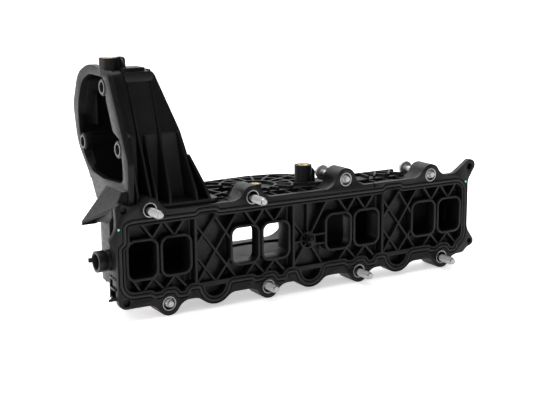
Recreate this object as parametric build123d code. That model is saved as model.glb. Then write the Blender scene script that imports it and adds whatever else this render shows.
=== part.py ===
from build123d import *
import math
import os

# Four-cylinder diesel intake manifold, moulded plastic, with captive bolts.
# Frame: +X along the head flange, -Y out of the head flange, +Z up.
# The origin is the centre of the port pattern on the sealing face. Millimetres.

# ---- head flange and ports ----
cylinder_pitch = 94.0
cylinder_count = 4
port_width = 24.5
port_height = 30.4
port_corner = 6.0
port_wall = 2.0
port_gap = 1.5                  # between the walls of two ports of a pair
flange_end_margin = 7.7         # flange end beyond the outer port rim
flange_top = 38.5
flange_bottom = -38.8
flange_plate = 5.0              # thickness at the outer edge
flange_depth = 20.0             # depth at the bolt bosses and the runner box
edge_rounding = 12.0            # of the hollows between bosses and ears
core_margin = 3.2               # thick part, outside the seal's middle line
runner_top = 35.0
pocket_depth = 9.0
pocket_floor = 2.0
panel_bulge = 3.6               # how far the wide panels' floors come forward
runner_length = 17.0            # the second port of each pair has this long a runner
rib_thickness = 1.6
rib_recess = 0.7                # ribs stop short of the sealing face
divider_offset = -15.5          # divider wall from the middle of its pitch
divider_thickness = 2.2
top_rib_pitch = 15.0

# ---- seal ----
seal_to_sleeve = 1.75           # from the top run's middle to the sleeves above it
seal_bottom = -29.5
seal_end_inset = 3.0
seal_bump = 2.6                 # steps up in the top run of the seal
seal_rounding = 4.0
groove_width = 4.2
groove_depth = 2.4
seal_width = 2.5
seal_proud = 0.7
seal_land = 3.8                 # from the seal's middle to the pockets
lobe_radius = 16.8
lobe_offset = 3.1
lobe_drop = -29.7
lobe_land = (-30.5, -26.5)      # flat strip across the top of each lobe

# ---- captive bolts ----
bolt_radius = 3.5
bolt_length = 40.0
bolt_point = 2.2
bolt_thread = 17.5
bolt_waist = 0.5                # the neck is this much slimmer in radius
bolt_sag = 0.8                  # how low a seated bolt hangs in its sleeve
bolt_head_height = 6.0
bolt_head_radius = 5.6
bolt_washer_radius = 6.9
bolt_washer = 1.8
sleeve_radius = 6.15
sleeve_wall = 1.0
boss_radius = 10.0
bolt_offset = 7.4               # along X from the middle of the port pair
upper_bolt_height = 39.9
lower_bolt_height = -39.7
raised_bolt = 2                 # this upper bolt sits higher than its row
raised_bolt_lift = 5.4
lane_clearance = 1.9            # round a bolt head as it slides back
lane_length = 36.0
upper_retraction = [0.0, 0.3, 17.0, 17.0]
lower_retraction = [16.0, 6.5, 1.8, 2.7]

# ---- plenum ----
wall = 3.0
plenum_end_inset = 7.95         # plenum end inside the flange end
plenum_floor = -25.5
plenum_back = 40.0
bulge_back = 80.0
bulge_corner = 30.0
bulge_right = 46.0
cover_drop_place = 118.0        # right of here the cover lies lower
cover_drop = 5.5
seam_lip = 2.6
seam_lip_height = 3.0
seam_clearance = 0.2            # between the lane walls and the seam
cover_rib_height = 2.6
floor_rib_height = 3.0
floor_rib_pitch = 22.0
cover_rib = 1.8
web_centre = (-26.0, 44.0)
web_first_ring = 17.0
web_ring_step = 15.0
web_rays = 16
rear_port_centre = (-10.0, 0.5)
rear_port_width = 80.0
rear_port_height = 42.0
rear_port_corner = 20.0
rear_port_wall = 4.0
rear_port_stand = 10.0          # neck's face behind the bulge

# ---- inlet tower, along X from its mouth ----
tower_top = 147.0
mouth_inset = 13.95             # mouth inside the flange end
mouth_plate = 5.0
rim_step = 0.8                  # the face stands this far proud of the wall under it
rim_low = tower_top - 92.6      # lower edge of the flat face
mouth_collar = 9.0              # the body is fuller up to here behind the rim
tower_wall = 3.0
tower_shoulder = 41.0           # the top is level as far as this
tower_foot = 74.0               # the sloping end wall reaches its base here
tower_front = 27.0              # lower front wall
tower_rear = 74.0               # lower back wall
tower_base_plate = 3.5
fin_thickness = 1.8
fin_root = 5.3                  # front edge of the fins' feet
shell_gap = 0.2                 # round the flange where the tower passes it
wing_plate = 2.6
bushing_radius = 5.8
bushing_wall = 1.5
bushing_length = 8.0
bushing_proud = 0.6
bushing_places = [(52.6, tower_top - 13.4), (98.6, tower_top - 63.6), (24.4, tower_top - 60.6)]

# ---- end spigot and inserts ----
spigot_radius = 8.8
spigot_bore = 6.4
spigot_height = -1.5
spigot_length = 18.0
spigot_collar = 7.0
spigot_neck = 0.9               # how far the neck is turned down
insert_radius = 4.6
insert_wall = 2.1
insert_length = 10.0
tower_insert_place = (7.0, 55.0)    # from the mouth along X, and Y
tower_boss_rise = 10.0
cover_insert_offset = (-20.6, 38.0)     # from the raised bolt along X, and Y
cover_boss_top = 55.0
boss_insert_radius = 3.4
boss_insert_length = 6.0
boss_insert_offset = (-0.15, 12.5)      # its edge from the second sleeve's side along X, and Y
boss_insert_top = 48.6
boss_insert_pad = 5.2

port_spacing = port_width + 2 * port_wall + port_gap
flange_half_length = (cylinder_count / 2 - 0.5) * cylinder_pitch
flange_half_length += port_spacing / 2 + port_width / 2 + port_wall + flange_end_margin
plenum_half_length = flange_half_length - plenum_end_inset
mouth_x = mouth_inset - flange_half_length
pair_centres = [(i - (cylinder_count - 1) / 2) * cylinder_pitch for i in range(cylinder_count)]
divider_places = [(i - (cylinder_count - 2) / 2) * cylinder_pitch + divider_offset
                  for i in range(cylinder_count - 1)]
lobe_places = [(i - (cylinder_count - 2) / 2) * cylinder_pitch + lobe_offset
               for i in range(cylinder_count - 1)]
upper_bolts = [(x - bolt_offset, upper_bolt_height + (raised_bolt_lift if i == raised_bolt else 0))
               for i, x in enumerate(pair_centres)]
lower_bolts = [(x + bolt_offset, lower_bolt_height) for x in pair_centres]
all_bolts = upper_bolts + lower_bolts
lane_radius = bolt_washer_radius + lane_clearance
seal_top = upper_bolt_height - sleeve_radius - seal_to_sleeve
cover_insert_place = (upper_bolts[raised_bolt][0] + cover_insert_offset[0], cover_insert_offset[1])
plenum_top = flange_top
plenum_seam = upper_bolt_height - lane_radius - wall - seam_clearance
rear_port_face = bulge_back + rear_port_stand
tower_base = plenum_top
pocket_back = pocket_depth + pocket_floor


def slab(outline, y_from, y_to):
    """A front-view outline (x, z) made solid from one depth to another."""
    placed = Plane.XZ.offset(-y_from) * outline
    return extrude(placed, amount=y_to - y_from, dir=(0, 1, 0))


def side_slab(outline, x_from, x_to):
    """An end-view outline (y, z) made solid along X."""
    placed = Plane.YZ.offset(x_from) * outline
    return extrude(placed, amount=x_to - x_from, dir=(1, 0, 0))


def level_slab(outline, z_from, z_to):
    """A plan outline (x, y) made solid upwards."""
    return extrude(Pos(0, 0, z_from) * outline, amount=z_to - z_from, dir=(0, 0, 1))


def rod(radius, length, start, direction):
    """A round bar from a start point along a direction."""
    return extrude(Plane(start, z_dir=direction) * Circle(radius), amount=length)


def tube(outer, inner, length, start, direction):
    """A round tube from a start point along a direction."""
    return extrude(Plane(start, z_dir=direction) * (Circle(outer) - Circle(inner)), amount=length)


def block(low, high):
    """An upright rectangle between two opposite corners."""
    middle = Pos((low[0] + high[0]) / 2, (low[1] + high[1]) / 2)
    return middle * Rectangle(high[0] - low[0], high[1] - low[1])


def bar(start, end, thickness):
    """A straight rib seen end-on, with square ends."""
    length = math.dist(start, end)
    angle = math.degrees(math.atan2(end[1] - start[1], end[0] - start[0]))
    middle = Pos((start[0] + end[0]) / 2, (start[1] + end[1]) / 2)
    return middle * Rot(0, 0, angle) * Rectangle(length, thickness)


def rounded_shape(points, radii):
    """A closed polygon with a radius at each corner."""
    return make_face(FilletPolyline(*points, radius=radii, close=True))


def grown(shape, amount):
    """The same outline, moved outwards, or inwards when negative."""
    return offset(shape, amount=amount, kind=Kind.ARC)


def hull(*shapes):
    """The tight outline round several shapes."""
    edges = []
    for shape in shapes:
        edges += shape.edges()
    return make_hull(edges)


# ---- head flange ----

def port_outline(extra=0.0, sides=(-0.5, 0.5)):
    """The ports, each made larger all round by extra."""
    total = Sketch()
    for centre in pair_centres:
        for side in sides:
            port = RectangleRounded(port_width + 2 * extra, port_height + 2 * extra, port_corner + extra)
            total += Pos(centre + side * port_spacing, 0) * port
    return total


def ear(centre, radius, root_low, root_high):
    """A rounded ear joined tangentially to a stretch of the flange's edge."""
    return hull(Pos(*centre) * Circle(radius), block(root_low, root_high))


def eased(shape, radius):
    """The same outline with its hollow corners rounded."""
    return grown(grown(shape, radius), -radius)


def bolt_circles():
    """The round ends of all bolt bosses."""
    circles = Sketch()
    for x, z in all_bolts:
        circles += Pos(x, z) * Circle(boss_radius)
    return circles


def upper_ramps():
    """The upper bosses with the hollow ramps that run down from them."""
    ramps = Sketch()
    for x, z in upper_bolts:
        ramps += Pos(x, z) * Circle(boss_radius)
        ramps += block((x - 24, runner_top - 4), (x + 24, flange_top - 1.5))
    return eased(ramps, edge_rounding)


def flange_outline():
    """The whole front view of the head flange."""
    half = flange_half_length
    height = flange_top - flange_bottom
    outline = Pos(0, (flange_top + flange_bottom) / 2) * RectangleRounded(2 * half, height, 7)
    outline += bolt_circles()
    for x in lobe_places:
        outline += Pos(x, lobe_drop) * Circle(lobe_radius)
    outline += ear((-half + 4.6, flange_top + 4.0), 5.0, (-half + 1, 22), (-half + 20, flange_top - 1))
    outline += ear((half + 2.2, flange_top + 6.0), 5.6, (half - 18, 26), (half - 3, flange_top - 1))
    outline += ear((half + 3.6, -28.4), 4.5, (half - 12, -33), (half - 1, -14))
    outline += ear((-half - 1.4, 17.0), 4.6, (-half + 1, 6), (-half + 4, 27))
    outline += ear((-half + 7.5, -34.5), 4.4, (-half + 2, -33), (-half + 30, flange_bottom + 2))
    return eased(outline, edge_rounding)


def seal_path():
    """The closed line that the seal follows, as the face inside it."""
    half = flange_half_length - seal_end_inset
    height = seal_top - seal_bottom
    path = Pos(0, (seal_top + seal_bottom) / 2) * RectangleRounded(2 * half, height, 12)
    for x in (divider_places[0] + 12.5, divider_places[2] + 12.5):
        path += Pos(x, seal_top) * Rectangle(17, 2 * seal_bump)
    for x in lobe_places:
        path += Pos(x, lobe_drop) * Circle(lobe_radius - seal_end_inset)
    path -= block((-half - 1, 13), (-half + 4.2, seal_top + 1))
    for x, z in lower_bolts:
        path += Pos(x - 9.5, seal_bottom) * Rectangle(9, 2 * seal_bump)
        path += Pos(x + 12.5, seal_bottom) * Rectangle(11, 4 * seal_bump)
    path = eased(path, seal_rounding)
    return grown(grown(path, -seal_rounding), seal_rounding)


def lattice_panel(middle):
    """Crossing ribs between one cylinder's ports and the next."""
    lines = [((-14.5, 23.6), (23.1, -26.5)), ((3.8, 28.0), (20.5, 3.8)), ((-14.5, -3.5), (3.6, -27.0)),
             ((-14.5, -28.6), (23.5, 27.5)), ((-14.5, 4.6), (4.4, 29.0)), ((4.2, -27.0), (20.5, -6.6))]
    ribs = Sketch()
    for (x_from, z_from), (x_to, z_to) in lines:
        ribs += bar((middle + x_from, z_from), (middle + x_to, z_to), rib_thickness)
    return ribs


def sun_panel(hub_x, hub_z):
    """Ribs that run out from the hub of the locating peg."""
    ribs = Sketch()
    for x, z in [(0, 29), (20.5, 29), (-14.5, 14), (-14.5, -5.2), (-14.5, -26), (15.5, -27)]:
        ribs += bar((hub_x, hub_z), (hub_x + x, z), rib_thickness)
    for z in (hub_z - 4.6, hub_z + 3.8):
        ribs += bar((hub_x + 4, z), (hub_x + 22, z), rib_thickness)
    return ribs


def zigzag(x_from, x_to, z_near, z_far, count):
    """A row of short slanting ribs between the ports and the land."""
    step = (x_to - x_from) / count
    ribs = Sketch()
    for i in range(count):
        start = (x_from + i * step, z_near if i % 2 else z_far)
        end = (x_from + (i + 1) * step, z_far if i % 2 else z_near)
        ribs += bar(start, end, rib_thickness)
    return ribs


def locating_hub():
    """Centre of the ring that carries the cross-shaped locating peg."""
    return (0.0, -4.1)


def flange_ribs():
    """Every rib inside the pockets of the head flange."""
    ribs = Sketch()
    near = port_height / 2 + port_wall - 0.5
    for x in pair_centres:
        ribs += zigzag(x - 15.5, x + 23.5, near, seal_top - seal_land + 1.5, 4)
        ribs += zigzag(x - 15.5, x + 23.5, -near, seal_bottom + seal_land - 1.5, 4)
    for i, x in enumerate(divider_places):
        if i == 1:
            ribs += sun_panel(*locating_hub())
        else:
            ribs += lattice_panel(x - divider_offset)
    half = flange_half_length
    ribs += bar((-half + 10.5, -11.5), (-half + 19, -25), rib_thickness)
    return ribs


def panel_bulges(pockets):
    """Floors of the wide panels, bowed forward like a barrel."""
    bulges = None
    free_half = (cylinder_pitch - port_spacing - port_width) / 2 - port_wall
    radius = (free_half ** 2 + panel_bulge ** 2) / (2 * panel_bulge)
    for x in divider_places:
        middle = x - divider_offset
        barrel = level_slab(Pos(middle, pocket_depth - panel_bulge + radius) * Circle(radius),
                            flange_bottom, flange_top)
        window = block((middle - free_half + 1, lobe_land[1]), (middle + free_half - 1, seal_top))
        bulge = slab(pockets & window, pocket_depth - panel_bulge - 0.5, pocket_depth + 0.5) & barrel
        bulges = bulge if bulges is None else bulges + bulge
    return bulges


def make_flange_shell():
    """The front moulding: sealing face, ports, pockets, ribs and bolt bosses."""
    half = flange_half_length
    outline = flange_outline()
    path = seal_path()
    shell = slab(outline, 0, flange_plate)
    shell += slab(grown(path, core_margin) & outline, flange_plate - 1, pocket_back)
    bosses = bolt_circles()
    shell += slab(bosses + upper_ramps(), flange_plate - 1, flange_depth)
    runner_box = block((-plenum_half_length, plenum_floor), (plenum_half_length, runner_top))
    shell += slab(runner_box, pocket_back - 1, flange_depth)
    top_ribs = Sketch()
    for i in range(int(2 * plenum_half_length / top_rib_pitch)):
        x = -plenum_half_length + (i + 0.5) * top_rib_pitch
        top_ribs += block((x, runner_top - 4), (x + rib_thickness, flange_top - 0.5))
    shell += slab(top_ribs, flange_plate - 1, flange_depth)
    shell += slab(block((-plenum_half_length, runner_top - 6), (plenum_half_length, runner_top)),
                  flange_plate - 1, flange_depth)

    # pockets, with the port walls, dividers and ribs left standing
    tubes = port_outline(port_wall)
    dividers = Sketch()
    for x in divider_places:
        dividers += block((x, seal_bottom), (x + divider_thickness, seal_top))
    for x in lobe_places:
        dividers += block((x - lobe_radius, lobe_land[0]), (x + lobe_radius, lobe_land[1]))
    hub = Pos(*locating_hub()) * (Circle(7.7) - Circle(6.2))
    standing = tubes + dividers + bosses + hub
    pockets = grown(path, -seal_land) - standing
    shell -= slab(pockets, 0, rib_recess)
    shell -= slab(pockets - flange_ribs(), rib_recess, pocket_depth)
    shell += panel_bulges(pockets)
    shell += make_end_webs()

    # behind the pocket floors the moulding is open to the plenum
    back = block((-plenum_half_length + wall, plenum_floor + wall),
                 (plenum_half_length - wall, plenum_seam - wall))
    runners = port_outline(port_wall, sides=(0.5,))
    shell -= slab(back - runners - bosses, pocket_back, flange_depth)
    shell -= slab(back - bosses, runner_length, flange_depth)
    shell -= slab(port_outline(), 0, flange_depth)

    # pad for the insert, seal groove, sleeve holes, moulded dimples in the ears
    x, y = boss_insert_centre()
    shell += level_slab(Pos(x, y) * Circle(boss_insert_pad), runner_top - 1, boss_insert_top)
    shell -= level_slab(Pos(x, y) * Circle(boss_insert_radius), boss_insert_top - boss_insert_length,
                        boss_insert_top + 1)
    groove = grown(path, groove_width / 2) - grown(path, -groove_width / 2)
    shell -= slab(groove, 0, groove_depth)
    for x, z in all_bolts:
        shell -= slab(Pos(x, z) * Circle(sleeve_radius), 0, flange_depth)
    dimples = [(-half + 6.5, flange_top + 3.5, 3.0), (half + 1, flange_top + 5.2, 3.2),
               (-half + 7, -33.5, 3.2), (half + 3.4, -28.2, 2.4)]
    for x, z, radius in dimples:
        shell -= slab(Pos(x, z) * Circle(radius), 0, flange_plate - 1.4)
    slit = block((divider_places[2] - 9, seal_top + 2.8), (divider_places[2] - 7.6, flange_top + 1))
    shell -= slab(slit, 0, flange_plate)

    # cross-shaped locating peg, proud of the sealing face
    hub_x, hub_z = locating_hub()
    arms = Rectangle(8.0, 1.6) + Rectangle(1.6, 8.0)
    shell += slab(Pos(hub_x, hub_z) * arms, -6.5, pocket_depth)
    return shell


def make_end_webs():
    """Three level webs behind the left end of the flange, and one upright web."""
    left = -flange_half_length
    root = -plenum_half_length + 1
    webs = None
    for height, reach in ((-14.0, 0.6), (-22.5, 1.5), (-30.5, 7.0)):
        points = [(root, flange_plate - 1), (left - reach, flange_plate - 1), (left - 1, flange_plate + 5),
                  (left - 0.5, flange_depth - 3), (root, flange_depth)]
        web = level_slab(make_face(Polyline(*points, close=True)), height - 0.9, height + 0.9)
        webs = web if webs is None else webs + web
    upright = make_face(Polyline((root, 8), (left - 1, 8), (left - 1, 31), (left + 3.5, tower_base - 0.4),
                                 (root, tower_base - 0.4), close=True))
    panel = block((left - 0.4, -31.4), (root, -13.1))
    return webs + slab(upright, 11, 13.4) + slab(panel, flange_depth - 5, flange_depth - 3)


def boss_insert_centre():
    """Plan position of the insert in the second upper boss."""
    beside_sleeve = upper_bolts[1][0] + sleeve_radius + boss_insert_radius
    return (beside_sleeve + boss_insert_offset[0], boss_insert_offset[1])


def make_seal():
    """One closed rubber bead, a little proud of the sealing face."""
    path = seal_path()
    body = grown(path, seal_width / 2) - grown(path, -seal_width / 2)
    crown = grown(path, seal_width / 4) - grown(path, -seal_width / 4)
    return slab(body, 0, groove_depth) + slab(crown, -seal_proud, 0)


# ---- plenum ----

def plenum_plan(inset=0.0):
    """Plan view of the plenum: a narrow right part and a deep bulge."""
    right = plenum_half_length - inset
    left = -plenum_half_length + inset
    narrow = plenum_back - inset
    deep = bulge_back - inset
    points = [(left, flange_depth), (right, flange_depth), (right, narrow), (bulge_right + 28, narrow),
              (bulge_right - inset, 54 - inset), (14, deep - 2), (-14, deep + 3), (-52, deep),
              (-96, deep - 3), (left, deep - 5)]
    radii = [0, 0, 14 - inset, 20, 14, 14, 22, 30, 50, bulge_corner - inset]
    return rounded_shape(points, radii)


def bolt_lanes(radius):
    """Clear ways behind the bolts, for the heads and the sockets that turn them."""
    lanes = None
    for x, z in all_bolts:
        lane = slab(Pos(x, z) * Circle(radius), flange_depth, flange_depth + lane_length)
        lanes = lane if lanes is None else lanes + lane
    return lanes


def plenum_volume(inset, low, high):
    """The plenum's outer form, or its inner space when inset by the wall."""
    dropped = plenum_top - cover_drop
    drop = make_face(Polyline((cover_drop_place, plenum_top), (cover_drop_place + 8, dropped),
                              (400, dropped), (400, 200), (cover_drop_place, 200), close=True))
    drop = Pos(-inset * 0.7, -inset) * drop
    volume = level_slab(plenum_plan(inset), low, high) - slab(drop, 0, 200)
    return volume - bolt_lanes(lane_radius + inset)


def rear_port(extra):
    """Outline of the opening at the back, made larger by extra."""
    outline = RectangleRounded(rear_port_width + 2 * extra, rear_port_height + 2 * extra,
                               rear_port_corner + extra)
    return Pos(*rear_port_centre) * outline


def floor_ribs():
    """Crossing ribs that stiffen the floor from below."""
    ribs = Sketch()
    for i in range(int(2 * plenum_half_length / floor_rib_pitch)):
        x = -plenum_half_length + (i + 0.5) * floor_rib_pitch
        ribs += block((x, 0), (x + cover_rib, bulge_back + 10))
    for i in range(int(bulge_back / floor_rib_pitch) + 1):
        y = flange_depth + (i + 0.4) * floor_rib_pitch
        ribs += block((-plenum_half_length, y), (plenum_half_length, y + cover_rib))
    return ribs & plenum_plan(2)


def make_plenum_shell():
    """The lower moulding: floor, side walls and the neck at the back."""
    shell = plenum_volume(0, plenum_floor, plenum_seam)
    shell += level_slab(floor_ribs(), plenum_floor - floor_rib_height, plenum_floor + 1)
    lip = plenum_plan(-seam_lip) - block((-400, -50), (400, flange_depth + 0.01))
    shell += level_slab(lip, plenum_seam - seam_lip_height, plenum_seam) - bolt_lanes(lane_radius)
    neck_start = bulge_back - 40
    shell += slab(rear_port(rear_port_wall), neck_start, rear_port_face)
    shell -= plenum_volume(wall, plenum_floor + wall, plenum_seam + 1)
    front = block((-plenum_half_length + wall, plenum_floor + wall),
                  (plenum_half_length - wall, plenum_seam + 1))
    clear_front = slab(front, flange_depth - 1, flange_depth + wall + 1)
    shell -= clear_front - bolt_lanes(lane_radius + wall)
    shell -= slab(rear_port(0), neck_start - 1, rear_port_face + 1)
    return shell


def cover_ribs():
    """Rings and rays that stiffen the cover like a spider's web."""
    web = Sketch()
    rings = 7
    for i in range(rings):
        radius = web_first_ring + i * web_ring_step
        web += Circle(radius + cover_rib / 2) - Circle(radius - cover_rib / 2)
    for i in range(web_rays):
        angle = 2 * math.pi * i / web_rays
        inner = (web_first_ring * math.cos(angle), web_first_ring * math.sin(angle))
        outer = (118 * math.cos(angle), 118 * math.sin(angle))
        web += bar(inner, outer, cover_rib)
    web = Pos(*web_centre) * web
    spacing = 16.0
    lattice = Sketch()
    x = 84.0
    while x < plenum_half_length - spacing:
        lattice += bar((x, flange_depth), (x + spacing, plenum_back), cover_rib)
        lattice += bar((x + spacing, flange_depth), (x, plenum_back), cover_rib)
        x += spacing
    return web + lattice


def make_plenum_cover():
    """The ribbed top moulding, welded to the shell along its lip."""
    cover = plenum_volume(0, plenum_seam, plenum_top)
    lip = plenum_plan(-seam_lip) - block((-400, -50), (400, flange_depth + 0.01))
    cover += level_slab(lip, plenum_seam, plenum_seam + seam_lip_height) - bolt_lanes(lane_radius)
    beside_tower = block((mouth_x + tower_foot + 8, flange_depth + 1.5), (cover_drop_place, 200))
    border = plenum_plan(0.6) - plenum_plan(0.6 + cover_rib)
    ribs = (cover_ribs() & plenum_plan(1.5)) + border
    ribs &= beside_tower
    x, y = cover_insert_place
    ribs -= Pos(x, y) * Circle(insert_radius)
    cover += level_slab(ribs, plenum_top - 0.5, plenum_top + cover_rib_height) - bolt_lanes(lane_radius)
    cover += level_slab(Pos(x, y) * Circle(insert_radius + 3.2), plenum_top - 0.5, cover_boss_top)
    gusset = make_face(Polyline((x, plenum_top), (x + 12, plenum_top), (x + 12, cover_boss_top - 7),
                                (x + 9.5, cover_boss_top - 3.5), (x, cover_boss_top - 3.5), close=True))
    cover += slab(gusset, y - 1.2, y + 1.2)
    cover -= plenum_volume(wall, plenum_seam - 1, plenum_top - wall)
    cover -= rod(insert_radius, insert_length, (x, y, cover_boss_top - insert_length), (0, 0, 1))

    # the way down from the tower
    cover -= level_slab(way_down(), plenum_top - wall - 1, plenum_top + 1)
    return cover


# ---- inlet tower ----

def way_down():
    """Plan outline of the passage from the tower into the plenum."""
    way = block((mouth_x + 12, tower_front + 4), (mouth_x + tower_foot - 6, tower_rear - 4))
    return fillet(way.vertices(), 8) & plenum_plan(wall + 1)


def tower_profile(inset=0.0):
    """End view (y, z) of the tower's hollow body."""
    points = [(tower_front, tower_base - 20), (tower_front, tower_top - 50), (44, tower_top), (94, tower_top),
              (113, tower_top - 50), (tower_rear, tower_base + 6), (tower_rear, tower_base - 20)]
    profile = rounded_shape(points, [0, 14, 8, 24, 26, 14, 0])
    return grown(profile, -inset) if inset else profile


def tower_side(inset=0.0):
    """Front view (x, z) of the tower's body, sloping down to the right."""
    far = 40.0
    height = tower_top - tower_base
    points = [(mouth_x - far, tower_base - far), (mouth_x - far, tower_top),
              (mouth_x + tower_shoulder, tower_top),
              (mouth_x + tower_foot - 22.0, tower_base + 0.68 * height),
              (mouth_x + tower_foot - 9.5, tower_base + 0.31 * height),
              (mouth_x + tower_foot, tower_base), (mouth_x + tower_foot + 4, tower_base - far)]
    side = rounded_shape(points, [0, 0, 7, 30, 40, 20, 0])
    return grown(side, -inset) if inset else side


def mouth_outline():
    """Outline (y, z) of the end wall that carries the flat rim."""
    points = [(7, -110), (5, -69), (42, 1), (80, 4), (105, -5), (118, -33), (111, -65), (88, -88), (74, -110)]
    places = [(y, tower_top + z) for y, z in points]
    return rounded_shape(places, [5, 14, 12, 44, 24, 24, 36, 30, 5])


def mouth_opening():
    """Outline (y, z) of the hole in the rim."""
    points = [(13, -87), (20, -52), (33, -47), (45, -23), (47, -5), (80, -4), (97, -12), (107, -33),
              (105, -55), (94, -77), (78, -86), (56, -89)]
    places = [(y, tower_top + z) for y, z in points]
    return rounded_shape(places, [8, 4, 6, 10, 7, 34, 18, 26, 22, 20, 16, 20])


def tower_fin(foot, head, top):
    """A fin on the front wall, from its foot on the flange up to its head."""
    front = [(fin_root, tower_base), (fin_root, tower_base + 12), (45, tower_top + 5), (52, top + 1),
             (60, top + 1), (60, tower_base)]
    if top < tower_top:
        front = [(fin_root, tower_base), (fin_root, tower_base + 12), (47, tower_top + 10), (60, tower_base)]
    strip = bar((mouth_x + foot, tower_base - 1), (mouth_x + head, top), fin_thickness)
    profile = make_face(Polyline(*front, close=True))
    return slab(strip, 0, 60) & side_slab(profile, mouth_x, mouth_x + tower_foot + 20)


def make_tower():
    """The horn: flat mouth rim, hollow body, fins, and the base on the plenum."""
    above_base = level_slab(block((-300, -50), (0, 200)), tower_base, tower_top + 30)
    side = slab(tower_side(), -20, 160)
    body = side_slab(tower_profile(), mouth_x, mouth_x + tower_foot + 20) & side
    body += side_slab(grown(mouth_opening(), tower_wall), mouth_x, mouth_x + mouth_collar)
    rim = mouth_outline()
    body += side_slab(rim, mouth_x, mouth_x + mouth_plate)
    boss_top = tower_top + tower_boss_rise
    fins = [(8, 8, 76), (19, 17, boss_top), (24, 24, 96), (36, 38, tower_top), (61, 53.5, 97), (74, 59, 78)]
    for foot, head, top in fins:
        body += tower_fin(foot, head, top)
    base = block((mouth_x + 2, fin_root), (mouth_x + tower_foot + 7, tower_rear + 4))
    body += level_slab(fillet(base.vertices(), 6), tower_base, tower_base + tower_base_plate)
    body &= above_base
    pad = block((mouth_x + 14, tower_top - 9), (mouth_x + 39, tower_top - 1))
    body += slab(fillet(pad.vertices(), 3), 38, 58)
    body += slab(block((mouth_x + 14, tower_top - 3), (mouth_x + 33, tower_top + 2)), 41, 58)

    # hollow it, with a tunnel left round the way to the first bolt
    space = side_slab(tower_profile(tower_wall), mouth_x + mouth_plate, mouth_x + tower_foot + 20)
    space &= slab(tower_side(tower_wall), -20, 160)
    space &= level_slab(block((-300, -50), (0, 200)), tower_base + tower_wall, tower_top)
    space += level_slab(way_down(), tower_base - 1, tower_base + tower_wall + 1)
    body -= space - bolt_lanes(lane_radius + tower_wall)
    body -= side_slab(mouth_opening(), mouth_x - 1, mouth_x + mouth_collar - tower_wall)
    inner_rib = tower_profile(1) & block((99, tower_top - 50), (115, tower_top - 16))
    body += side_slab(inner_rib, mouth_x + 14, mouth_x + 15.5)
    for y, z in bushing_places:
        body += side_slab(Pos(y, z) * Circle(bushing_radius + 1.2), mouth_x + 0.5, mouth_x + bushing_length)
    for y, z in bushing_places:
        body -= side_slab(Pos(y, z) * Circle(bushing_radius), mouth_x - 1, mouth_x + bushing_length)

    # upright boss beside the mouth, with its lug
    x, y = tower_insert_centre()
    body += level_slab(Pos(x, y) * Circle(insert_radius + 2.6), tower_top - 4, boss_top)
    lug = block((x + insert_radius + 1.5, tower_top - 3), (x + 14, boss_top + 0.5))
    body += slab(fillet(lug.vertices(), 3), y - 3, y + 1)
    body -= rod(insert_radius, insert_length, (x, y, boss_top - insert_length), (0, 0, 1))

    # the flange, its bolt bosses and the ways to the bolts pass through the base
    body -= slab(grown(flange_outline(), shell_gap), -20, flange_plate + shell_gap)
    body -= slab(grown(upper_ramps(), shell_gap), 0, flange_depth + shell_gap)
    body -= bolt_lanes(lane_radius)

    # only the rim's own face stands at the mouth; the walls under it are set back
    under_rim = block((-50, tower_base - 1), (200, rim_low))
    body -= side_slab(under_rim, mouth_x - 1, mouth_x + rim_step)
    return body + make_wing()


def tower_insert_centre():
    """Plan position of the insert beside the mouth."""
    return (mouth_x + tower_insert_place[0], tower_insert_place[1])


def make_wing():
    """Pointed wing under the mouth: an upright plate, a sloping one and an end one."""
    back, front = 50.0, 13.6
    top = rim_low - 0.4
    tip = mouth_x - 22.5
    end = -plenum_half_length - seam_lip - 0.9
    upright = [(mouth_x + 2, tower_base + 1), (mouth_x + 2, top), (tip + 1, 26), (tip, 22.5), (end, 22.5),
               (end, tower_base - 4), (end + 3, tower_base + 0.6)]
    wing = slab(make_face(Polyline(*upright, close=True)), back, back + wing_plate)
    rear = make_face(Polyline((mouth_x + 2, top - 3), (mouth_x + 2, top), (tip, 26),
                              (tip + 1, 23.5), close=True))
    fore = make_face(Polyline((mouth_x + 2, top - 3), (mouth_x + 2, top), (end - 1.5, tower_base + 3.5),
                              (end, tower_base + 1), close=True))
    wing += loft([Plane.XZ.offset(-back - 1) * rear, Plane.XZ.offset(-front) * fore])
    side = [(back + wing_plate, 22.5), (front, 32), (front, tower_base + 3), (back + wing_plate, 34)]
    wing += side_slab(make_face(Polyline(*side, close=True)), end - 2, end)
    web = [(mouth_x + 2, tower_base + 1), (mouth_x + 2, top), (mouth_x - 4, top),
           (mouth_x - 9, tower_base + 4), (mouth_x - 10.8, tower_base + 1)]
    return wing + slab(make_face(Polyline(*web, close=True)), 11, front + 0.2)


# ---- small pieces ----

def bolt_point_place(row_place, retraction):
    """Where a bolt's point lies: seated bolts hang low in their sleeves."""
    x, z = row_place
    seated = retraction < flange_depth / 4
    lift = -bolt_sag if seated else bolt_sag * 0.6
    return (x, flange_depth + retraction - bolt_length, z + lift)


def make_bolt(row_place, retraction):
    """A flanged hexagon bolt with a waisted neck, so that its sleeve holds it."""
    x, y, z = bolt_point_place(row_place, retraction)
    thread = rod(bolt_radius, bolt_thread - bolt_point, (x, y + bolt_point, z), (0, 1, 0))
    point = rod(bolt_radius - 0.8, bolt_point, (x, y, z), (0, 1, 0))
    neck = rod(bolt_radius - bolt_waist, bolt_length - bolt_thread, (x, y + bolt_thread, z), (0, 1, 0))
    washer = rod(bolt_washer_radius, bolt_washer, (x, y + bolt_length, z), (0, 1, 0))
    hexagon = extrude(Plane((x, y + bolt_length + bolt_washer, z), z_dir=(0, 1, 0))
                      * RegularPolygon(bolt_head_radius, 6), amount=bolt_head_height - bolt_washer)
    return thread + point + neck + washer + hexagon


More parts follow.
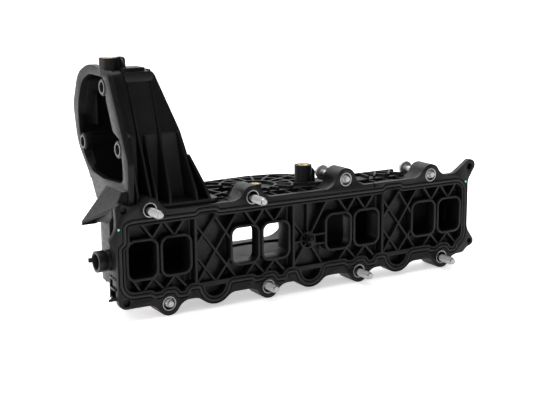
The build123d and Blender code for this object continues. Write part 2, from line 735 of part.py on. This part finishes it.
def make_sleeve(row_place):
    """A steel sleeve that takes the bolt's load through the plastic flange."""
    x, z = row_place
    return tube(sleeve_radius, sleeve_radius - sleeve_wall, flange_depth, (x, 0, z), (0, 1, 0))


def make_bushing(place):
    """A steel bushing in the rim of the mouth."""
    start = (mouth_x - bushing_proud, place[0], place[1])
    length = bushing_length + bushing_proud
    return tube(bushing_radius, bushing_radius - bushing_wall, length, start, (1, 0, 0))


def make_insert(place, top, radius=insert_radius, length=insert_length):
    """A brass thread insert, flush with the top of its boss."""
    start = (place[0], place[1], top - length)
    return tube(radius, radius - insert_wall, length, start, (0, 0, 1))


def make_spigot():
    """The blind spigot on the left end, with a collar, a neck and a nib."""
    root = -plenum_half_length
    end = root - spigot_length
    centre = (flange_depth, spigot_height)
    body = rod(spigot_radius, spigot_length, (root, *centre), (-1, 0, 0))
    groove_start = end + spigot_collar
    groove = tube(spigot_radius + 1, spigot_radius - spigot_neck, 1.6, (groove_start, *centre), (1, 0, 0))
    body -= groove
    body -= rod(spigot_bore, spigot_length - 3, (end, *centre), (1, 0, 0))
    nib = slab(block((end - 3.2, spigot_height - 1.8), (end + 2, spigot_height + 1.8)),
               flange_depth + spigot_bore + 0.2, flange_depth + spigot_radius - 0.2)
    return body + nib


def save(name, shape):
    """Write one named piece."""
    shape.label = name
    export_step(shape, os.path.join("parts", name + ".step"))


os.makedirs("parts", exist_ok=True)
save("head_flange", make_flange_shell())
save("port_seal", make_seal())
save("plenum_shell", make_plenum_shell())
save("plenum_cover", make_plenum_cover())
save("inlet_tower", make_tower())
save("end_spigot", make_spigot())
for row, places, retractions in (("upper", upper_bolts, upper_retraction),
                                 ("lower", lower_bolts, lower_retraction)):
    for i, (place, retraction) in enumerate(zip(places, retractions)):
        save(f"bolt_{row}_{i + 1}", make_bolt(place, retraction))
        save(f"sleeve_{row}_{i + 1}", make_sleeve(place))
for name, place in zip(("top", "rear", "front"), bushing_places):
    save("mouth_bushing_" + name, make_bushing(place))
save("tower_insert", make_insert(tower_insert_centre(), tower_top + tower_boss_rise))
save("cover_insert", make_insert(cover_insert_place, cover_boss_top))
save("boss_insert", make_insert(boss_insert_centre(), boss_insert_top, boss_insert_radius,
                                boss_insert_length))
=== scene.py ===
import bpy
import bmesh
import math
from mathutils import Matrix, Vector


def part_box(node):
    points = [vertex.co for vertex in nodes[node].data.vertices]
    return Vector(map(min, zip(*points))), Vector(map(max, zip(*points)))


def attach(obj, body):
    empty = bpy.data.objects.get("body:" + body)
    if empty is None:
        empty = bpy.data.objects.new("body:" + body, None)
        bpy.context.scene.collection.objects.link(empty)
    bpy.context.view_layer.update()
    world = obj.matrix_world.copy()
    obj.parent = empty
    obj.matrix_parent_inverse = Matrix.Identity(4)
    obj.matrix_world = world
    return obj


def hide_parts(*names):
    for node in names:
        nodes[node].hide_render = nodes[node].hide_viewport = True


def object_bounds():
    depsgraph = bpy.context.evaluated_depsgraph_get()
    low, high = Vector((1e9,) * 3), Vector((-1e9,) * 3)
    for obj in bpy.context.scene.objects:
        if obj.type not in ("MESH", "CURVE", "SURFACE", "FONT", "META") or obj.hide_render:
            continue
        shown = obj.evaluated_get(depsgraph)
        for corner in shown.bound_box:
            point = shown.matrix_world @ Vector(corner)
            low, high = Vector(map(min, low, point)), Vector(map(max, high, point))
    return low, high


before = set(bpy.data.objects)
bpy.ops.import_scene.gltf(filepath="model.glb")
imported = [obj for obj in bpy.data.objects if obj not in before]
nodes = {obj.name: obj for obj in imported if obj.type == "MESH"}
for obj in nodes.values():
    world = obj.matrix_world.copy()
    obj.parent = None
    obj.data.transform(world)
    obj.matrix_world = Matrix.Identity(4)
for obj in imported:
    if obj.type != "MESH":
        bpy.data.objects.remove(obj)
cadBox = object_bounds()
mm = 0.001
shellBody = "manifold"
print("frame loaded:", len(nodes), "nodes")


# camera, floor and light

cameraSpot = {
    "place": (-0.5191, -0.8123, 0.2329),
    "turn": 30.87,        # degrees from straight on, towards the tower end
    "dip": 11.85,
    "roll": -0.36,
    "lens": 75.1,
}


def placeCamera(spot):
    turn, dip, roll = (math.radians(spot[k]) for k in ("turn", "dip", "roll"))
    ahead = Vector((math.cos(dip) * math.sin(turn), math.cos(dip) * math.cos(turn), -math.sin(dip)))
    right = Vector((math.cos(turn), -math.sin(turn), 0))
    up = right.cross(ahead)
    across = right * math.cos(roll) + up * math.sin(roll)
    upright = up * math.cos(roll) - right * math.sin(roll)
    data = bpy.data.cameras.new("camera")
    data.lens = spot["lens"]
    data.sensor_width = 36
    data.clip_end = 50
    camera = bpy.data.objects.new("camera", data)
    camera.matrix_world = Matrix((
        (across.x, upright.x, -ahead.x, spot["place"][0]),
        (across.y, upright.y, -ahead.y, spot["place"][1]),
        (across.z, upright.z, -ahead.z, spot["place"][2]),
        (0, 0, 0, 1)))
    bpy.context.scene.collection.objects.link(camera)
    bpy.context.scene.camera = camera


def addNode(tree, kind, place=(0, 0), **values):
    # values whose name is an input are set there, the others on the node itself
    node = tree.nodes.new(kind)
    node.location = place
    for name, value in values.items():
        if hasattr(node, name):
            setattr(node, name, value)
        else:
            node.inputs[name.replace("_", " ")].default_value = value
    return node


def newMaterial(name):
    material = bpy.data.materials.new(name)
    material.use_nodes = True
    tree = material.node_tree
    shader = tree.nodes["Principled BSDF"]
    return material, tree, shader


lightBoxes = {
    "overhead": {"place": (0.1, 0.6, 1.6), "aim": (0, 0.05, 0), "size": (2.2, 2.2), "power": 44},
    "leftWall": {"place": (-1.7, 0.25, 0.35), "aim": (0, 0.05, 0.05), "size": (1.4, 1.2), "power": 16},
    "nearFill": {"place": (-0.5, -1.6, 1.3), "aim": (0, 0, 0), "size": (1.2, 0.9), "power": 6},
}


def softBox(name, place, aim, size, power):
    data = bpy.data.lights.new(name, "AREA")
    data.shape = "RECTANGLE"
    data.size, data.size_y = size
    data.energy = power
    light = bpy.data.objects.new(name, data)
    light.location = place
    light.rotation_euler = (Vector(aim) - Vector(place)).to_track_quat("-Z", "Y").to_euler()
    bpy.context.scene.collection.objects.link(light)


def paleRoom():
    # the room is bright behind and to the left, and dim on the near side
    world = bpy.data.worlds.new("room")
    bpy.context.scene.world = world
    world.use_nodes = True
    tree = world.node_tree
    ground = tree.nodes["Background"]
    coords = addNode(tree, "ShaderNodeTexCoord", (-900, 0))
    split = addNode(tree, "ShaderNodeSeparateXYZ", (-700, 0))
    tree.links.new(coords.outputs["Generated"], split.inputs[0])
    back = addNode(tree, "ShaderNodeMath", (-500, 60), operation="MULTIPLY_ADD")
    back.inputs[1].default_value = 1.0
    back.inputs[2].default_value = 0.35
    tree.links.new(split.outputs["Y"], back.inputs[0])
    left = addNode(tree, "ShaderNodeMath", (-300, 60), operation="MULTIPLY_ADD")
    left.inputs[1].default_value = -0.55
    tree.links.new(split.outputs["X"], left.inputs[0])
    tree.links.new(back.outputs[0], left.inputs[2])
    ramp = addNode(tree, "ShaderNodeValToRGB", (-100, 60))
    ramp.color_ramp.elements[0].position = 0.0
    ramp.color_ramp.elements[0].color = (0.10, 0.10, 0.10, 1)
    ramp.color_ramp.elements[1].position = 0.45
    ramp.color_ramp.elements[1].color = (1, 1, 1, 1)
    tree.links.new(left.outputs[0], ramp.inputs["Fac"])
    tree.links.new(ramp.outputs["Color"], ground.inputs["Color"])
    ground.inputs["Strength"].default_value = 1.05


def paleFloor(level):
    mesh = bpy.data.meshes.new("floor")
    shape = bmesh.new()
    bmesh.ops.create_grid(shape, x_segments=1, y_segments=1, size=6)
    shape.to_mesh(mesh)
    floor = bpy.data.objects.new("floor", mesh)
    floor.location.z = level
    bpy.context.scene.collection.objects.link(floor)
    material, tree, shader = newMaterial("floor_paper")
    shader.inputs["Base Color"].default_value = (0.93, 0.92, 0.93, 1)
    shader.inputs["Roughness"].default_value = 0.9
    shader.inputs["Specular IOR Level"].default_value = 0.1
    shader.inputs["Emission Color"].default_value = (1, 0.985, 0.99, 1)
    shader.inputs["Emission Strength"].default_value = 0.5
    fibre = addNode(tree, "ShaderNodeTexNoise", (-500, -200), Scale=260.0, Detail=3.0)
    bump = addNode(tree, "ShaderNodeBump", (-250, -200), Strength=0.05, Distance=0.0001)
    tree.links.new(fibre.outputs["Fac"], bump.inputs["Height"])
    tree.links.new(bump.outputs["Normal"], shader.inputs["Normal"])
    mesh.materials.append(material)


placeCamera(cameraSpot)
paleRoom()
paleFloor(cadBox[0].z)
for boxName, box in lightBoxes.items():
    softBox(boxName, **box)
bpy.context.scene.view_settings.view_transform = "Standard"
print("camera, floor and light placed")


# finishes

def mouldedBlack(name="moulded_black", tone=0.0042, gloss=0.38, sheen=0.18):
    # blotches, fine flow streaks and the grain of the tool
    material, tree, shader = newMaterial(name)
    coords = addNode(tree, "ShaderNodeTexCoord", (-1500, 0))
    flow = addNode(tree, "ShaderNodeMapping", (-1300, 0), Scale=(0.35, 1.0, 1.0))
    tree.links.new(coords.outputs["Object"], flow.inputs["Vector"])
    blotch = addNode(tree, "ShaderNodeTexNoise", (-1100, 300), Scale=26.0, Detail=5.0, Roughness=0.62)
    streak = addNode(tree, "ShaderNodeTexNoise", (-1100, 50), Scale=380.0, Detail=3.0, Roughness=0.55)
    grain = addNode(tree, "ShaderNodeTexNoise", (-1100, -200), Scale=2400.0, Detail=2.0)
    dust = addNode(tree, "ShaderNodeTexVoronoi", (-1100, -450), Scale=900.0)
    tree.links.new(coords.outputs["Object"], blotch.inputs["Vector"])
    tree.links.new(flow.outputs["Vector"], streak.inputs["Vector"])
    tree.links.new(coords.outputs["Object"], grain.inputs["Vector"])
    tree.links.new(coords.outputs["Object"], dust.inputs["Vector"])
    shade = addNode(tree, "ShaderNodeValToRGB", (-800, 300))
    shade.color_ramp.elements[0].position = 0.3
    shade.color_ramp.elements[0].color = (tone * 0.75, tone * 0.72, tone * 0.82, 1)
    shade.color_ramp.elements[1].position = 0.75
    shade.color_ramp.elements[1].color = (tone * 1.6, tone * 1.5, tone * 1.75, 1)
    tree.links.new(blotch.outputs["Fac"], shade.inputs["Fac"])
    speck = addNode(tree, "ShaderNodeMapRange", (-800, -450))
    speck.inputs["From Min"].default_value = 0.0
    speck.inputs["From Max"].default_value = 0.10
    speck.inputs["To Min"].default_value = 0.30
    speck.inputs["To Max"].default_value = 0.0
    tree.links.new(dust.outputs["Distance"], speck.inputs["Value"])
    dusted = addNode(tree, "ShaderNodeMix", (-500, 300), data_type="RGBA")
    dusted.inputs["B"].default_value = (tone * 5, tone * 4.8, tone * 5, 1)
    tree.links.new(speck.outputs["Result"], dusted.inputs["Factor"])
    tree.links.new(shade.outputs["Color"], dusted.inputs["A"])
    tree.links.new(dusted.outputs["Result"], shader.inputs["Base Color"])
    rough = addNode(tree, "ShaderNodeMapRange", (-800, 0))
    rough.inputs["From Min"].default_value = 0.3
    rough.inputs["From Max"].default_value = 0.7
    rough.inputs["To Min"].default_value = gloss - 0.06
    rough.inputs["To Max"].default_value = gloss + 0.10
    tree.links.new(streak.outputs["Fac"], rough.inputs["Value"])
    tree.links.new(rough.outputs["Result"], shader.inputs["Roughness"])
    wave = addNode(tree, "ShaderNodeBump", (-500, -100), Strength=0.25, Distance=0.0004)
    tree.links.new(blotch.outputs["Fac"], wave.inputs["Height"])
    bump = addNode(tree, "ShaderNodeBump", (-300, -250), Strength=0.35, Distance=0.00006)
    tree.links.new(grain.outputs["Fac"], bump.inputs["Height"])
    tree.links.new(wave.outputs["Normal"], bump.inputs["Normal"])
    tree.links.new(bump.outputs["Normal"], shader.inputs["Normal"])
    shader.inputs["Specular IOR Level"].default_value = sheen
    return material


def metalFinish(name, colour, gloss, scratch=0.25):
    material, tree, shader = newMaterial(name)
    coords = addNode(tree, "ShaderNodeTexCoord", (-1200, 0))
    stretch = addNode(tree, "ShaderNodeMapping", (-1000, 0), Scale=(900.0, 240.0, 900.0))
    tree.links.new(coords.outputs["Object"], stretch.inputs["Vector"])
    lines = addNode(tree, "ShaderNodeTexNoise", (-800, 0), Scale=1.0, Detail=3.0)
    tree.links.new(stretch.outputs["Vector"], lines.inputs["Vector"])
    tint = addNode(tree, "ShaderNodeMix", (-500, 200), data_type="RGBA")
    tint.inputs["A"].default_value = (*[c * 0.8 for c in colour], 1)
    tint.inputs["B"].default_value = (*colour, 1)
    tree.links.new(lines.outputs["Fac"], tint.inputs["Factor"])
    tree.links.new(tint.outputs["Result"], shader.inputs["Base Color"])
    rough = addNode(tree, "ShaderNodeMapRange", (-500, -50))
    rough.inputs["To Min"].default_value = gloss
    rough.inputs["To Max"].default_value = gloss + scratch
    tree.links.new(lines.outputs["Fac"], rough.inputs["Value"])
    tree.links.new(rough.outputs["Result"], shader.inputs["Roughness"])
    bump = addNode(tree, "ShaderNodeBump", (-300, -250), Strength=0.2, Distance=0.00004)
    tree.links.new(lines.outputs["Fac"], bump.inputs["Height"])
    tree.links.new(bump.outputs["Normal"], shader.inputs["Normal"])
    shader.inputs["Metallic"].default_value = 1.0
    return material


def sealRubber():
    material, tree, shader = newMaterial("seal_rubber")
    coords = addNode(tree, "ShaderNodeTexCoord", (-900, 0))
    dust = addNode(tree, "ShaderNodeTexNoise", (-700, 0), Scale=600.0, Detail=4.0)
    tree.links.new(coords.outputs["Object"], dust.inputs["Vector"])
    shade = addNode(tree, "ShaderNodeMix", (-450, 100), data_type="RGBA")
    shade.inputs["A"].default_value = (0.006, 0.006, 0.006, 1)
    shade.inputs["B"].default_value = (0.016, 0.016, 0.017, 1)
    tree.links.new(dust.outputs["Fac"], shade.inputs["Factor"])
    tree.links.new(shade.outputs["Result"], shader.inputs["Base Color"])
    bump = addNode(tree, "ShaderNodeBump", (-300, -200), Strength=0.3, Distance=0.00005)
    tree.links.new(dust.outputs["Fac"], bump.inputs["Height"])
    tree.links.new(bump.outputs["Normal"], shader.inputs["Normal"])
    shader.inputs["Roughness"].default_value = 0.55
    shader.inputs["Specular IOR Level"].default_value = 0.3
    return material


def paintDot():
    material, tree, shader = newMaterial("check_paint")
    coords = addNode(tree, "ShaderNodeTexCoord", (-800, 0))
    daub = addNode(tree, "ShaderNodeTexNoise", (-600, 0), Scale=900.0, Detail=2.0)
    tree.links.new(coords.outputs["Object"], daub.inputs["Vector"])
    tint = addNode(tree, "ShaderNodeMix", (-350, 0), data_type="RGBA")
    tint.inputs["A"].default_value = (0.10, 0.52, 0.50, 1)
    tint.inputs["B"].default_value = (0.20, 0.72, 0.68, 1)
    tree.links.new(daub.outputs["Fac"], tint.inputs["Factor"])
    tree.links.new(tint.outputs["Result"], shader.inputs["Base Color"])
    shader.inputs["Roughness"].default_value = 0.5
    return material


finishes = {
    "black_plastic": mouldedBlack(),
    "black_rubber": sealRubber(),
    "sleeve_steel": metalFinish("turned_steel", (0.46, 0.46, 0.45), 0.24),
    "bushing_steel": metalFinish("oiled_steel", (0.14, 0.14, 0.14), 0.30),
    "zinc_steel": metalFinish("zinc_plate", (0.44, 0.445, 0.44), 0.34),
    "insert_brass": metalFinish("turned_brass", (0.72, 0.50, 0.20), 0.25),
}
print("finishes made:", ", ".join(finishes))


# shared mesh work

def addPiece(name, mesh, slotName, body=shellBody, stands=()):
    piece = bpy.data.objects.new(name, mesh)
    bpy.context.scene.collection.objects.link(piece)
    mesh.materials.clear()
    mesh.materials.append(finishes[slotName])
    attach(piece, body)
    if stands:
        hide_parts(*stands)
    return piece


def applyModifiers(piece):
    graph = bpy.context.evaluated_depsgraph_get()
    done = bpy.data.meshes.new_from_object(piece.evaluated_get(graph))
    piece.modifiers.clear()
    old = piece.data
    piece.data = done
    bpy.data.meshes.remove(old)


def smoothByAngle(mesh, degrees):
    shape = bmesh.new()
    shape.from_mesh(mesh)
    limit = math.radians(degrees)
    for edge in shape.edges:
        edge.smooth = len(edge.link_faces) == 2 and edge.calc_face_angle(0) < limit
    for face in shape.faces:
        face.smooth = True
    shape.to_mesh(mesh)
    shape.free()


shells = {
    "head_flange": ("black_plastic", 0.3 * mm),
    "plenum_shell": ("black_plastic", 0.4 * mm),
    "plenum_cover": ("black_plastic", 0.35 * mm),
    "inlet_tower": ("black_plastic", 0.4 * mm),
    "end_spigot": ("black_plastic", 0.3 * mm),
    "port_seal": ("black_rubber", 0.35 * mm),
}
mouldedEdge = 32              # degrees: sharper edges than this are rounded
turnedEdge = 35               # degrees: sharper edges than this stay crisp on turned pieces


def softenNode(nodeName, slotName, width):
    # the same shape with its moulded edges rounded
    mesh = nodes[nodeName].data.copy()
    shape = bmesh.new()
    shape.from_mesh(mesh)
    closeEnough = 0.002 * mm
    bmesh.ops.remove_doubles(shape, verts=shape.verts, dist=closeEnough)
    bmesh.ops.dissolve_degenerate(shape, edges=shape.edges, dist=closeEnough)
    bmesh.ops.dissolve_limit(shape, angle_limit=math.radians(0.4), verts=shape.verts, edges=shape.edges)
    shape.to_mesh(mesh)
    shape.free()
    piece = addPiece(nodeName + "_moulded", mesh, slotName, stands=(nodeName,))
    bevel = piece.modifiers.new("rounding", "BEVEL")
    bevel.width = width
    bevel.segments = 2
    bevel.limit_method = "ANGLE"
    bevel.angle_limit = math.radians(mouldedEdge)
    bevel.use_clamp_overlap = True
    applyModifiers(piece)
    smoothByAngle(piece.data, mouldedEdge)
    print("softened", nodeName, len(piece.data.polygons), "faces")


for nodeName, (slotName, width) in shells.items():
    softenNode(nodeName, slotName, width)


# turned pieces: bolts, sleeves, bushings and inserts

def spun(name, rings, base, axis, around, slotName, body=shellBody, stands=(), tube=True):
    # rings are (distance along the axis, radius), where a radius may be a function of the angle
    axis = Vector(axis)
    side = axis.orthogonal().normalized()
    other = axis.cross(side)
    shape = bmesh.new()
    loops = []
    for along, radius in rings:
        loop = []
        for i in range(around):
            angle = 2 * math.pi * i / around
            reach = radius(angle) if callable(radius) else radius
            out = side * math.cos(angle) + other * math.sin(angle)
            loop.append(shape.verts.new(Vector(base) + axis * along + out * reach))
        loops.append(loop)
    last = len(loops) if tube else len(loops) - 1
    for k in range(last):
        here, there = loops[k], loops[(k + 1) % len(loops)]
        for i in range(around):
            n = (i + 1) % around
            shape.faces.new([here[i], here[n], there[n], there[i]])
    if not tube:
        shape.faces.new(loops[0])
        shape.faces.new(loops[-1])
    bmesh.ops.recalc_face_normals(shape, faces=shape.faces)
    mesh = bpy.data.meshes.new(name)
    shape.to_mesh(mesh)
    shape.free()
    smoothByAngle(mesh, turnedEdge)
    return addPiece(name, mesh, slotName, body, stands)


def ringProfile(length, outer, inner, chamfer):
    return [(0, inner + chamfer), (0, outer - chamfer), (chamfer, outer), (length - chamfer, outer),
            (length, outer - chamfer), (length, inner + chamfer), (length - chamfer, inner), (chamfer, inner)]


def makeSleeves():
    sleeve = {"wall": 1.0 * mm, "chamfer": 0.3 * mm, "groove": 0.35 * mm}
    for row in ("upper", "lower"):
        for i in range(1, 5):
            node = f"sleeve_{row}_{i}"
            low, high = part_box(node)
            outer = (high.x - low.x) / 2
            inner = outer - sleeve["wall"]
            length = high.y - low.y
            base = ((low.x + high.x) / 2, low.y, (low.z + high.z) / 2)
            # a shallow groove runs round the inside, half way along
            profile = ringProfile(length, outer, inner, sleeve["chamfer"])
            middle = [(0.62 * length, inner), (0.60 * length, inner + sleeve["groove"]),
                      (0.40 * length, inner + sleeve["groove"]), (0.38 * length, inner)]
            spun(node + "_turned", profile[:7] + middle + profile[7:], base, (0, 1, 0), 48,
                 "sleeve_steel", stands=(node,))
    print("sleeves made")


def threadRings(start, end, crest, root, pitch, steps=8):
    # one helix, faded out at both ends
    rings = []
    count = int((end - start) / pitch * steps)
    for k in range(count + 1):
        along = start + (end - start) * k / count
        fade = min(1, (along - start) / (0.8 * pitch), (end - along) / (1.2 * pitch))

        def reach(angle, along=along, fade=fade):
            phase = (along / pitch + angle / (2 * math.pi)) % 1
            depth = min(1, 2.6 * abs(phase - 0.5))
            return crest - (crest - root) * (1 - depth * fade)
        rings.append((along, reach))
    return rings


def hexReach(across, limit):
    def reach(angle):
        turned = (angle % (math.pi / 3)) - math.pi / 6
        return min(limit, across / 2 / math.cos(turned))
    return reach


def boltRings(bolt):
    # from the point to the hollow in the head
    thread, seat = bolt["thread"], bolt["length"]
    top, flange = seat + bolt["head"], seat + bolt["washerHeight"]
    point, pointEnd = bolt["point"], bolt["pointLength"]
    ease, centre = bolt["pointEase"], bolt["centre"]
    rings = [(0, centre), (0, point - ease), (ease, point),
             (pointEnd - ease, point), (pointEnd, bolt["root"] - 0.2 * mm)]
    rings += threadRings(pointEnd + 0.15 * mm, thread, bolt["crest"], bolt["root"], bolt["pitch"])
    neck, washer, rim = bolt["neck"], bolt["washer"], bolt["washerEase"]
    rings += [(thread + 0.4 * mm, neck - 0.15 * mm), (thread + 1.2 * mm, neck),
              (seat - 0.5 * mm, neck), (seat, neck + 0.4 * mm),
              (seat, washer - rim), (seat + rim, washer), (seat + 1.0 * mm, washer)]
    across, corner = bolt["across"], bolt["corner"]
    rings += [(flange, corner + 0.6 * mm),
              (flange + 0.2 * mm, hexReach(across, corner)),
              (top - 0.9 * mm, hexReach(across, corner)),
              (top - 0.3 * mm, hexReach(across, across / 2 + 0.1 * mm)),
              (top, hexReach(across, across / 2 - 0.35 * mm))]
    hollow = bolt["hollowDepth"]
    rings += [(top, bolt["hollow"]), (top - hollow, bolt["hollow"] - hollow), (top - hollow, centre)]
    return rings


def makeBolts():
    bolt = {"crest": 3.5 * mm, "root": 2.95 * mm, "pitch": 1.0 * mm, "thread": 17.5 * mm,
            "point": 2.6 * mm, "pointLength": 2.2 * mm, "pointEase": 0.5 * mm,
            "neck": 3.0 * mm, "length": 40.0 * mm, "washer": 6.9 * mm, "washerHeight": 1.8 * mm,
            "washerEase": 0.3 * mm, "across": 9.6 * mm, "corner": 5.5 * mm, "head": 6.0 * mm,
            "hollow": 3.2 * mm, "hollowDepth": 0.5 * mm, "centre": 0.3 * mm}
    for row in ("upper", "lower"):
        for i in range(1, 5):
            node = f"bolt_{row}_{i}"
            low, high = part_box(node)
            base = ((low.x + high.x) / 2, low.y, (low.z + high.z) / 2)
            spun(node + "_turned", boltRings(bolt), base, (0, 1, 0), 36, "zinc_steel", node, (node,),
                 tube=False)
    print("bolts made")


def makeBushings():
    bushing = {"wall": 1.5 * mm, "chamfer": 0.35 * mm}
    for spot in ("top", "rear", "front"):
        node = "mouth_bushing_" + spot
        low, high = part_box(node)
        outer = (high.y - low.y) / 2
        base = (low.x, (low.y + high.y) / 2, (low.z + high.z) / 2)
        profile = ringProfile(high.x - low.x, outer, outer - bushing["wall"], bushing["chamfer"])
        spun(node + "_turned", profile, base, (1, 0, 0), 48, "bushing_steel", stands=(node,))
    print("bushings made")


def makeInserts():
    insert = {"wall": 2.1 * mm, "chamfer": 0.4 * mm, "knurls": 24, "bite": 0.18 * mm, "pitch": 1.0 * mm,
              "rim": 0.3 * mm, "waist": 0.5 * mm, "threadDepth": 0.3 * mm}
    for node in ("tower_insert", "cover_insert", "boss_insert"):
        low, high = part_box(node)
        outer = (high.x - low.x) / 2
        bore = outer - insert["wall"]
        length = high.z - low.z
        base = ((low.x + high.x) / 2, (low.y + high.y) / 2, low.z)

        def knurled(angle, outer=outer):
            return outer - insert["bite"] * abs(math.sin(insert["knurls"] * angle / 2))
        mouth, rim, waist = bore + insert["chamfer"], outer - insert["rim"], outer - insert["waist"]
        rings = [(0, mouth), (0, rim), (insert["rim"], knurled), (0.42 * length, knurled),
                 (0.45 * length, waist), (0.55 * length, waist), (0.58 * length, knurled),
                 (length - 0.8 * mm, knurled), (length - 0.6 * mm, rim), (length, rim), (length, mouth)]
        turns = int((length - 1 * mm) / insert["pitch"])
        for k in range(turns):
            along = length - 0.5 * mm - k * insert["pitch"]
            rings += [(along, bore), (along - 0.5 * insert["pitch"], bore + insert["threadDepth"])]
        spun(node + "_turned", rings, base, (0, 0, 1), 96, "insert_brass", stands=(node,))
    print("inserts made")


def makeMarks():
    # faint round marks that the ejector pins left on the sealing face, and two dabs of paint
    ejector = {"radius": 2.4 * mm, "height": 0.08 * mm, "centre": 0.2 * mm}
    dot = {"radius": 1.0 * mm, "height": 0.15 * mm, "centre": 0.1 * mm}
    spots = [(-146.6, -34.9), (-114.9, -34.2), (-55.3, -34.0), (-22.5, -34.6), (44.3, -34.2), (72.8, -34.0)]
    for i, (x, z) in enumerate(spots):
        rings = [(0, ejector["centre"]), (0, ejector["radius"]),
                 (-ejector["height"], ejector["radius"] - 0.1 * mm), (-ejector["height"], ejector["centre"])]
        spun(f"ejector_mark_{i + 1}", rings, (x * mm, 0.0, z * mm), (0, 1, 0), 32,
             "black_plastic", tube=False)
    for i, (x, z) in enumerate(((-176.0, 27.1), (175.4, 29.5))):
        rings = [(0, dot["centre"]), (0, dot["radius"]), (-0.1 * mm, dot["radius"] - 0.2 * mm),
                 (-dot["height"], dot["centre"])]
        dab = spun(f"paint_dot_{i + 1}", rings, (x * mm, 0.0, z * mm), (0, 1, 0), 20,
                   "black_plastic", tube=False)
        dab.data.materials.clear()
        dab.data.materials.append(paint)
    print("marks made")


paint = paintDot()
makeSleeves()
makeBolts()
makeBushings()
makeInserts()
makeMarks()
